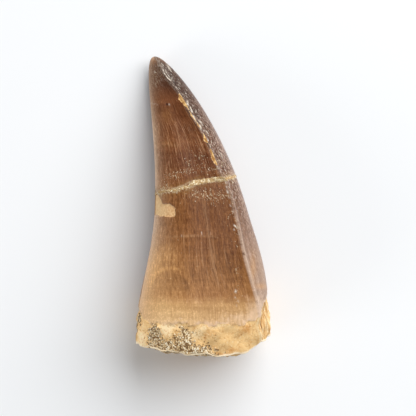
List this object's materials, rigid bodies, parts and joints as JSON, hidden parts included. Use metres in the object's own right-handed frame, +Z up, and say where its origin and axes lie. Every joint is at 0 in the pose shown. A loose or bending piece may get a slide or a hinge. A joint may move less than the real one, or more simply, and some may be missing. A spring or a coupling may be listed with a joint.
{
  "type": "fossil mosasaur tooth",
  "caption": "Curved, pointed fossil reptile tooth with a sharp cutting ridge, a mended break and sandy matrix on its broken root. Lies flat as a specimen.",
  "frame": {"origin": "on the surface that the tooth lies on, under the middle of its box", "axes": "+Y runs from the root's broken end to the tip, +Z is up, out of the front face, and +X is towards the side with the front carina"},
  "size_m": [0.0226, 0.0502, 0.015],
  "materials": {
    "enamel": "fossil enamel, brown and satin, finely ridged along the tooth",
    "filler": "dull sandy filler",
    "matrix": "coarse phosphate sand, dull and grainy"
  },
  "bodies": {
    "root": {"tooth": "enamel", "filler": "filler", "matrix": "matrix"}
  },
  "joints": []
}
